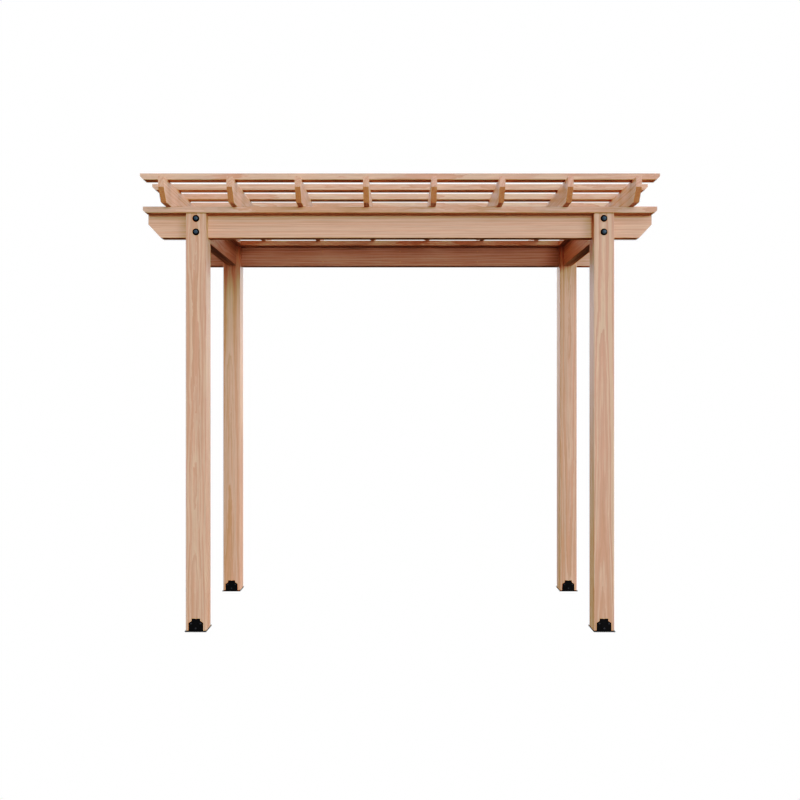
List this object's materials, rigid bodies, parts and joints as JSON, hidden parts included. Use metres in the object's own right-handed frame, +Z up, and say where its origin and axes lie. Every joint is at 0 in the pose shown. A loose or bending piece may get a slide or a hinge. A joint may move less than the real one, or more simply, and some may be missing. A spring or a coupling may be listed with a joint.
{
  "type": "wooden pergola",
  "caption": "Open timber garden frame: square posts on steel bases carry long and side beams under flat caps, with cut rafters and slats laid across the top.",
  "frame": {"origin": "on the ground at the centre of the overall plan", "axes": "+X along the long beams, to the right as seen from the front, +Y from the front to the back, +Z up"},
  "size_m": [3.556, 1.792, 3.149],
  "materials": {
    "post_timber": "planed softwood, clear matt stain, vertical grain",
    "beam_timber": "planed softwood, clear matt stain, grain along the beam",
    "cap_timber": "planed softwood, clear matt stain, grain along the board",
    "rafter_timber": "planed softwood, clear matt stain, grain along the rafter",
    "slat_timber": "planed softwood, clear matt stain, grain along the slat",
    "black_steel": "black powder coat",
    "screw_steel": "black coated screws with domed washers"
  },
  "bodies": {
    "root": {"post_front_left": "post_timber", "post_front_right": "post_timber", "post_back_left": "post_timber", "post_back_right": "post_timber", "post_base_front_left": "black_steel", "post_base_front_right": "black_steel", "post_base_back_left": "black_steel", "post_base_back_right": "black_steel", "beam_front_outer": "beam_timber", "beam_front_inner": "beam_timber", "beam_back_inner": "beam_timber", "beam_back_outer": "beam_timber", "side_beam_left_outer": "beam_timber", "side_beam_left_inner": "beam_timber", "side_beam_right_inner": "beam_timber", "side_beam_right_outer": "beam_timber", "cap_front": "cap_timber", "cap_back": "cap_timber", "cap_left": "cap_timber", "cap_right": "cap_timber", "rafter_1": "rafter_timber", "rafter_2": "rafter_timber", "rafter_3": "rafter_timber", "rafter_4": "rafter_timber", "rafter_5": "rafter_timber", "rafter_6": "rafter_timber", "rafter_7": "rafter_timber", "rafter_8": "rafter_timber", "slat_1": "slat_timber", "slat_2": "slat_timber", "slat_3": "slat_timber", "slat_4": "slat_timber", "slat_5": "slat_timber", "slat_6": "slat_timber", "beam_screws_front_left": "screw_steel", "beam_screws_front_right": "screw_steel", "beam_screws_back_left": "screw_steel", "beam_screws_back_right": "screw_steel"}
  },
  "joints": []
}
